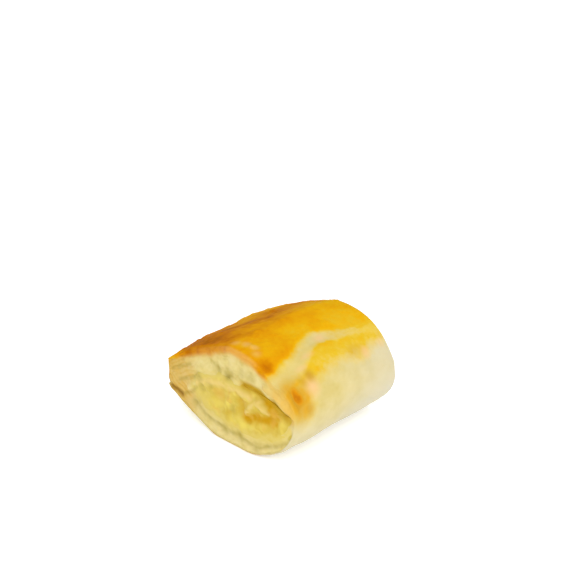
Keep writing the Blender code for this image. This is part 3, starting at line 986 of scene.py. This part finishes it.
def baked_cheese(settings):
    """Soft white-brine and hard yellow cheese, melted together: moist, a little see-through."""
    masks = ("deep", "bright", "warm", "edge", "fork", "shade", "gap")
    made, shader, read = new_material("baked_cheese", masks, CHEESE_TEXTURES)
    tree = made.node_tree
    tone = mottled(tree, read["deep"], read["curds"], 0.3)
    ramp = shades(settings, pale=0.0, yellow=0.35, deep=1.0)
    colour = add(tree, "ValToRGB", ramp, {"Fac": tone}).outputs["Color"]
    colour = layered(tree, colour, own_layers(read, settings, masks[1:]))
    dull = add(tree, "Math", {"operation": "MULTIPLY_ADD"}, {0: read["grain"], 1: 0.2, 2: 0.36})
    fine = {"Strength": 0.4, "Distance": 0.10 * MM, "Height": read["grain"]}
    fill(tree, shader, {
        "Base Color": colour,
        "Roughness": dull.outputs[0],
        "Normal": add(tree, "Bump", None, fine).outputs["Normal"],
        "Subsurface Weight": 0.15,
        "Subsurface Radius": (1.0, 0.7, 0.25),
        **FATTY_FOOD,
    })
    return made


# -------- the stage


def white_table(settings):
    """A plain white table lit from behind, as the floor."""
    bm = bmesh.new()
    bmesh.ops.create_grid(bm, x_segments=1, y_segments=1, size=FLOOR_HALF)
    bmesh.ops.translate(bm, verts=bm.verts, vec=(0, 0, -FLOOR_DROP))
    mesh = bpy.data.meshes.new("floor")
    bm.to_mesh(mesh)
    bm.free()
    made, shader, _ = new_material("backlit_white_table")
    fill(made.node_tree, shader, {
        "Base Color": (*settings.floor_colour, 1),
        "Roughness": 0.9,
        "Emission Color": (1, 1, 1, 1),
        "Emission Strength": settings.floor_glow,
    })
    mesh.materials.append(made)
    return placed("floor", mesh)


def white_sky(full):
    """A world that lights evenly from above, and less from low down."""
    world = bpy.data.worlds.new("white_sky")
    world.use_nodes = True
    tree = world.node_tree
    around = add(tree, "TexCoord").outputs["Generated"]
    upward = add(tree, "SeparateXYZ", None, {0: around}).outputs["Z"]
    limits = {"Value": upward, "From Max": SKY_EDGE, "To Min": HORIZON * full, "To Max": full}
    strength = add(tree, "MapRange", None, limits).outputs["Result"]
    fill(tree, tree.nodes["Background"], {"Color": (1, 1, 1, 1), "Strength": strength})
    return world


def soft_light(name, place, size, power):
    """A square soft light that faces the pastry."""
    data = bpy.data.lights.new(name, "AREA")
    data.size = size
    data.energy = power
    light = placed(name, data)
    light.location = place
    light.rotation_euler = (-Vector(place)).to_track_quat("-Z", "Y").to_euler()


def photo_camera():
    """A camera at the photograph's angle, aimed so that the piece falls where the photo has it."""
    azimuth, elevation = math.radians(VIEW_AZIMUTH), math.radians(VIEW_ELEVATION)
    level = math.cos(elevation)
    back = Vector((math.sin(azimuth) * level, -math.cos(azimuth) * level, math.sin(elevation)))
    right = Vector((math.cos(azimuth), math.sin(azimuth), 0))
    up = back.cross(right)
    target = Vector(VIEW_TARGET)
    aside = (0.5 * PIXELS - TARGET_PIXEL[0]) / PIXELS_PER_METRE
    above = (TARGET_PIXEL[1] - 0.5 * PIXELS) / PIXELS_PER_METRE
    data = bpy.data.cameras.new("camera")
    data.sensor_width = SENSOR_MM
    data.lens = SENSOR_MM * PIXELS_PER_METRE * VIEW_DISTANCE / PIXELS
    camera = placed("camera", data)
    camera.location = target + VIEW_DISTANCE * back
    aim = target + aside * right + above * up
    camera.rotation_euler = (aim - camera.location).to_track_quat("-Z", "Y").to_euler()
    return camera


# -------- the add-on


def tint(name, description, code):
    """A colour in the settings."""
    return FloatVectorProperty(
        name=name, description=description, default=linear(code), subtype="COLOR", min=0.0, max=1.0
    )


class DoughSettings(bpy.types.PropertyGroup):
    """Looks of the dough."""

    dough: tint("Dough", "Pale baked dough that no egg reached", "#D0BF84")
    # Painted bounce light: the dough greyer low on the fold, and paler towards its far end.
    dough_bounce_grey: tint("Dough, low", "Greyer dough low on the fold and at its far end", "#C9C1A8")
    dough_shade: tint("Dough in patches", "Pale dough where it is a little darker", "#C5B26C")
    toasted: tint("Dough, toasted", "Dry dough that the oven browned", "#B88C30")
    glaze_thin: tint("Glaze, thin", "Where the egg wash is thinnest", "#D8BD58")
    glaze_pale: tint("Glaze, pale", "Pale yellow egg wash", "#D4AE27")
    glaze_gold: tint("Glaze, golden", "Golden egg wash", "#D8A30A")
    glaze_orange: tint("Glaze, orange", "Egg wash that the oven turned orange", "#D39005")
    glaze_brown: tint("Glaze, brown", "Egg wash at the browned corner", "#BB6E02")
    glaze_dark: tint("Glaze, dark", "The darkest spots of the crust", "#94560A")
    # Painted highlights: pinkish spots on the glaze and along the stretch mark.
    blush: tint("Highlights", "Painted pinkish highlights on the glaze", "#DCB57E")
    bead: tint("Bead", "Golden edge of the near cut", "#D8B156")
    crumb_pale: tint("Cut dough, pale", "The palest layers at the cuts", "#DECE93")
    crumb: tint("Cut dough", "Layers at the cuts", "#D4C17C")
    crumb_shade: tint("Cut dough, shaded", "Layers that lie a little back", "#BDA85E")
    crumb_dark: tint("Cut dough, dark", "Lines between the layers", "#A8924A")
    gold: tint("Cut dough, golden", "Layers of the lip and the top edge", "#C99A38")
    soaked: tint("Soaked dough", "Cut dough beside the filling, yellow with cheese", "#D2BC64")
    shade: tint("Hollows", "Olive shade where the layers stand apart", "#A08D3F")
    # Painted shade in the gap under the roof and in the groove beside the ridge.
    gap: tint("Gap", "Brown gap under the roof of the opening", "#B58E1E")
    # Painted shade in the notch between the lip's two sheets.
    char: tint("Notch", "Dark notch between the lip's two sheets", "#8A6424")
    leaf_depth: FloatProperty(
        name="Leaf depth",
        description="How deep the lines between the dough's leaves are at the cuts",
        default=LEAF_DEPTH,
        unit="LENGTH",
    )


class CheeseSettings(bpy.types.PropertyGroup):
    """Looks of the cheese."""

    pale: tint("Pale cheese", "Curds that stand out", "#D9C262")
    yellow: tint("Yellow cheese", "Most of the filling", "#C9B04A")
    deep: tint("Deep yellow cheese", "Pools of melted cheese", "#C0900E")
    bright: tint("Clear yellow cheese", "Curds that melted clear", "#DFCA5E")
    warm: tint("Browned cheese", "Curds that the oven browned", "#D2A84C")
    edge: tint("Edge of the cheese", "Where it runs out over the dough", "#D2BC64")
    fork: tint("Dough on the cheese", "Thin dough that lies over the cheese", "#DDC277")
    shade: tint("Hollows", "Olive shade between the curds", "#A08D3F")
    # Painted shade in the gap under the roof and in the groove beside the ridge.
    gap: tint("Gap", "Brown gap under the roof of the opening", "#B58E1E")


class StageSettings(bpy.types.PropertyGroup):
    """Floor and light."""

    floor_colour: tint("Floor", "Colour of the plain floor", "#F7FAFF")
    floor_glow: FloatProperty(
        name="Floor glow", description="Light that the backlit floor gives", default=0.30
    )
    key_power: FloatProperty(
        name="Key light", description="Power of the large soft light", default=2.75, unit="POWER"
    )
    fill_power: FloatProperty(
        name="Fill light",
        description="Power of the weaker light from the other side",
        default=1.65,
        unit="POWER",
    )
    sky: FloatProperty(
        name="Sky", description="Strength of the even white light from above", default=0.88
    )


class PASTRY_OT_wrap(bpy.types.Operator):
    """Makes the baked dough and lays it over its solid"""

    bl_idname = "pastry.wrap"
    bl_label = "Baked dough"

    def execute(self, context):
        rows = SKIN_ROWS + 2 * FACE_ROWS + TUNNEL_ROWS
        settings = context.scene.pastry_dough
        place = partial(wrap, leaf_depth=settings.leaf_depth)
        piece = laid_sheet("baked_dough", place, DOUGH_COLUMNS, rows)
        piece.data.materials.append(baked_dough(settings))
        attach(piece, "root")
        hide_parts("pastry")
        return {"FINISHED"}


class PASTRY_OT_filling(bpy.types.Operator):
    """Makes the cheese that runs through the dough"""

    bl_idname = "pastry.filling"
    bl_label = "Cheese filling"

    def execute(self, context):
        rows = CHEESE_ROWS + 2 * CHEESE_RINGS
        piece = laid_sheet("cheese_filling", cheese, CHEESE_COLUMNS, rows)
        piece.data.materials.append(baked_cheese(context.scene.pastry_cheese))
        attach(piece, "root")
        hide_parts("filling")
        return {"FINISHED"}


class PASTRY_OT_stage(bpy.types.Operator):
    """Sets the floor, the lights and the camera"""

    bl_idname = "pastry.stage"
    bl_label = "Stage"

    def execute(self, context):
        settings = context.scene.pastry_stage
        scene = context.scene
        scene.view_settings.view_transform = "Standard"
        white_table(settings)
        scene.world = white_sky(settings.sky)
        soft_light("key", KEY_PLACE, KEY_SIZE, settings.key_power)
        soft_light("fill", FILL_PLACE, FILL_SIZE, settings.fill_power)
        scene.camera = photo_camera()
        return {"FINISHED"}


class PASTRY_PT_panel(bpy.types.Panel):
    """Lists the pieces and the stage"""

    bl_idname = "PASTRY_PT_panel"
    bl_label = "Cheese puff pastry"
    bl_space_type = "VIEW_3D"
    bl_region_type = "UI"
    bl_category = "Pastry"

    def draw(self, context):
        for operator in OPERATORS:
            self.layout.operator(operator.bl_idname)


OPERATORS = (PASTRY_OT_wrap, PASTRY_OT_filling, PASTRY_OT_stage)
CLASSES = (DoughSettings, CheeseSettings, StageSettings, *OPERATORS, PASTRY_PT_panel)


def register():
    for made in CLASSES:
        bpy.utils.register_class(made)
    bpy.types.Scene.pastry_dough = PointerProperty(type=DoughSettings)
    bpy.types.Scene.pastry_cheese = PointerProperty(type=CheeseSettings)
    bpy.types.Scene.pastry_stage = PointerProperty(type=StageSettings)


def unregister():
    del bpy.types.Scene.pastry_dough
    del bpy.types.Scene.pastry_cheese
    del bpy.types.Scene.pastry_stage
    for made in reversed(CLASSES):
        bpy.utils.unregister_class(made)


def main():
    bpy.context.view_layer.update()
    register()
    bpy.ops.pastry.wrap()
    bpy.ops.pastry.filling()
    bpy.ops.pastry.stage()


if __name__ == "__main__":
    main()
